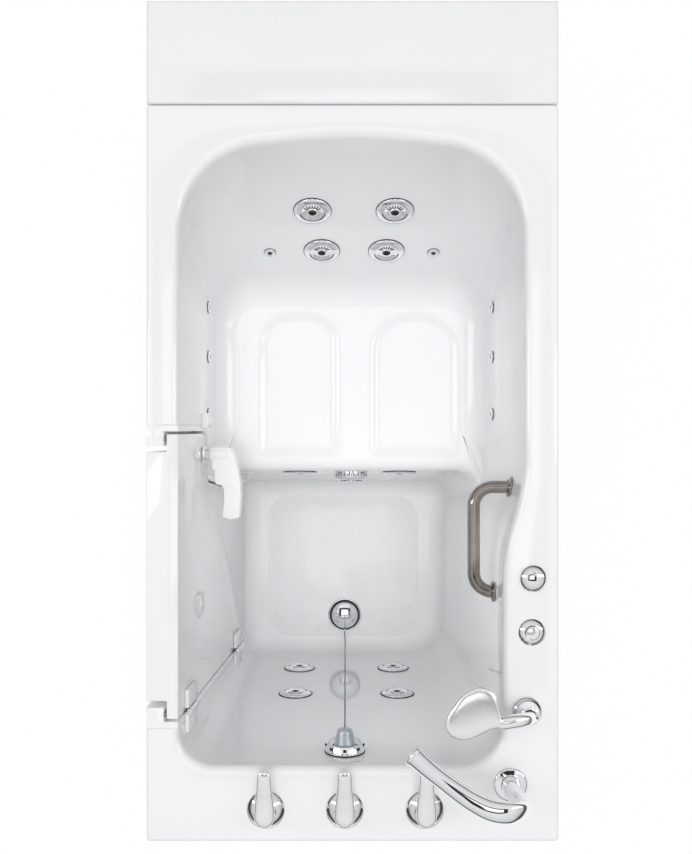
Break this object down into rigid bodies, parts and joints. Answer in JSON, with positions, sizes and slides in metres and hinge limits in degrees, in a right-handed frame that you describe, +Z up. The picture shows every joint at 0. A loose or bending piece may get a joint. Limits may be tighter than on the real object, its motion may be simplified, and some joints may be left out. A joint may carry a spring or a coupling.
{
  "type": "walk_in_bathtub",
  "caption": "Walk-in bathtub with a hinged inward door, moulded seat, jets, grab bar, deck taps, spout and hand shower on a levelling base",
  "frame": {"origin": "on the floor under the middle of the tub with its extension", "axes": "+Z up, -X the door side, +X the grab bar side, +Y the seat end, -Y the foot end with the taps"},
  "size_m": [0.748, 1.525, 1.1304],
  "materials": {
    "shell_white": "gloss",
    "hinge_white": "gloss",
    "gasket_grey": "matte",
    "plug_black": "satin",
    "chrome": "polished",
    "spray_face": "matte",
    "bar_steel": "satin polish",
    "chain_steel": "polished",
    "frame_steel": "satin grey paint",
    "zinc_steel": "zinc plated",
    "valve_brass": "cast",
    "pipe_white": "satin",
    "pump_black": "matte",
    "motor_paint": "satin"
  },
  "bodies": {
    "tub": {"tub_shell": "shell_white", "door_frame": "shell_white", "door_gasket": "gasket_grey", "hinge_frame_leaves": "hinge_white", "hinge_pins": "chrome", "latch_keeper": "hinge_white", "extension_deck": "shell_white", "front_skirt": "shell_white", "extension_skirt": "shell_white", "base_rails": "frame_steel", "uprights": "frame_steel", "levelling_feet": "zinc_steel", "lock_nuts": "zinc_steel", "floor_bearers": "frame_steel", "grab_bar": "bar_steel", "overflow_cover": "chrome", "drain_flange": "chrome", "plug_chain": "chain_steel", "hot_escutcheon": "chrome", "diverter_escutcheon": "chrome", "cold_escutcheon": "chrome", "valve_bodies": "valve_brass", "spout": "chrome", "shower_holder": "chrome", "dial_base": "chrome", "button_ring": "chrome", "jet_bodies": "pipe_white", "air_jets": "chrome", "suction_cover": "chrome", "pump_wet_end": "pump_black", "pump_motor": "motor_paint", "air_blower": "pump_black", "suction_pipe": "pipe_white", "water_pipes": "pipe_white", "air_pipe": "pipe_white", "waste_pipe": "pipe_white"},
    "door": {"door_panel": "shell_white", "door_cover": "shell_white", "hinge_door_leaves": "hinge_white", "latch_bracket": "chrome"},
    "latch": {"latch_handle": "hinge_white"},
    "plug": {"drain_plug": "plug_black"},
    "hot_tap": {"hot_lever": "chrome"},
    "diverter_tap": {"diverter_lever": "chrome"},
    "cold_tap": {"cold_lever": "chrome"},
    "shower": {"hand_shower": "chrome", "shower_face": "spray_face"},
    "dial": {"air_dial": "chrome"},
    "button": {"air_button": "chrome"},
    "access": {"access_panel": "shell_white"},
    "back_jet_1_ring": {"back_jet_1": "chrome"},
    "back_jet_2_ring": {"back_jet_2": "chrome"},
    "back_jet_3_ring": {"back_jet_3": "chrome"},
    "back_jet_4_ring": {"back_jet_4": "chrome"},
    "foot_jet_1_ring": {"foot_jet_1": "chrome"},
    "foot_jet_2_ring": {"foot_jet_2": "chrome"},
    "foot_jet_3_ring": {"foot_jet_3": "chrome"},
    "foot_jet_4_ring": {"foot_jet_4": "chrome"},
    "seat_jet_1_ring": {"seat_jet_1": "chrome"},
    "seat_jet_2_ring": {"seat_jet_2": "chrome"}
  },
  "joints": [
    {"name": "door_swing", "type": "hinge", "parent": "tub", "child": "door", "pos_m": [-0.28369, -0.541, 0.60061], "axis": [0.061, 0, -0.9981], "range_deg": [0, 90]},
    {"name": "latch_turn", "type": "hinge", "parent": "door", "child": "latch", "pos_m": [-0.27132, -0.066, 0.72583], "axis": [-0.9981, 0, -0.061], "range_deg": [0, 95]},
    {"name": "plug_lift", "type": "slide", "parent": "tub", "child": "plug", "axis": [0, 0, 1], "range_m": [0, 0.04]},
    {"name": "hot_turn", "type": "hinge", "parent": "tub", "child": "hot_tap", "pos_m": [-0.157, -0.704, 0.995], "axis": [0, 0, 1], "range_deg": [0, 90]},
    {"name": "diverter_turn", "type": "hinge", "parent": "tub", "child": "diverter_tap", "pos_m": [-0.014, -0.704, 0.995], "axis": [0, 0, 1], "range_deg": [-45, 45]},
    {"name": "cold_turn", "type": "hinge", "parent": "tub", "child": "cold_tap", "pos_m": [0.131, -0.704, 0.995], "axis": [0, 0, 1], "range_deg": [-90, 0]},
    {"name": "shower_lift", "type": "slide", "parent": "tub", "child": "shower", "axis": [0, 0, 1], "range_m": [0, 0.15]},
    {"name": "dial_turn", "type": "hinge", "parent": "tub", "child": "dial", "pos_m": [0.327, -0.285, 0.97], "axis": [0, 0, 1], "range_deg": [-135, 135]},
    {"name": "button_press", "type": "slide", "parent": "tub", "child": "button", "axis": [0, 0, -1], "range_m": [0, 0.004], "stiffness_N_per_m": 600, "springref_m": -0.002},
    {"name": "access_pull", "type": "slide", "parent": "tub", "child": "access", "axis": [-1, 0, 0], "range_m": [0, 0.15]},
    {"name": "back_jet_1_turn", "type": "hinge", "parent": "tub", "child": "back_jet_1_ring", "pos_m": [-0.078, 0.41689, 0.782], "axis": [0, -0.8712, 0.4909], "range_deg": [-60, 60]},
    {"name": "back_jet_2_turn", "type": "hinge", "parent": "tub", "child": "back_jet_2_ring", "pos_m": [0.085, 0.41689, 0.782], "axis": [0, -0.8712, 0.4909], "range_deg": [-60, 60]},
    {"name": "back_jet_3_turn", "type": "hinge", "parent": "tub", "child": "back_jet_3_ring", "pos_m": [-0.062, 0.3549, 0.672], "axis": [0, -0.8712, 0.4909], "range_deg": [-60, 60]},
    {"name": "back_jet_4_turn", "type": "hinge", "parent": "tub", "child": "back_jet_4_ring", "pos_m": [0.072, 0.3549, 0.672], "axis": [0, -0.8712, 0.4909], "range_deg": [-60, 60]},
    {"name": "foot_jet_1_turn", "type": "hinge", "parent": "tub", "child": "foot_jet_1_ring", "pos_m": [-0.124, -0.60355, 0.51], "axis": [0, 0.9987, 0.0515], "range_deg": [-60, 60]},
    {"name": "foot_jet_2_turn", "type": "hinge", "parent": "tub", "child": "foot_jet_2_ring", "pos_m": [0.102, -0.60355, 0.51], "axis": [0, 0.9987, 0.0515], "range_deg": [-60, 60]},
    {"name": "foot_jet_3_turn", "type": "hinge", "parent": "tub", "child": "foot_jet_3_ring", "pos_m": [-0.124, -0.59273, 0.3], "axis": [0, 0.9987, 0.0515], "range_deg": [-60, 60]},
    {"name": "foot_jet_4_turn", "type": "hinge", "parent": "tub", "child": "foot_jet_4_ring", "pos_m": [0.102, -0.59273, 0.3], "axis": [0, 0.9987, 0.0515], "range_deg": [-60, 60]},
    {"name": "seat_jet_1_turn", "type": "hinge", "parent": "tub", "child": "seat_jet_1_ring", "pos_m": [-0.114, -0.1112, 0.498], "axis": [0, -0.9945, 0.1045], "range_deg": [-60, 60]},
    {"name": "seat_jet_2_turn", "type": "hinge", "parent": "tub", "child": "seat_jet_2_ring", "pos_m": [0.107, -0.1112, 0.498], "axis": [0, -0.9945, 0.1045], "range_deg": [-60, 60]}
  ]
}
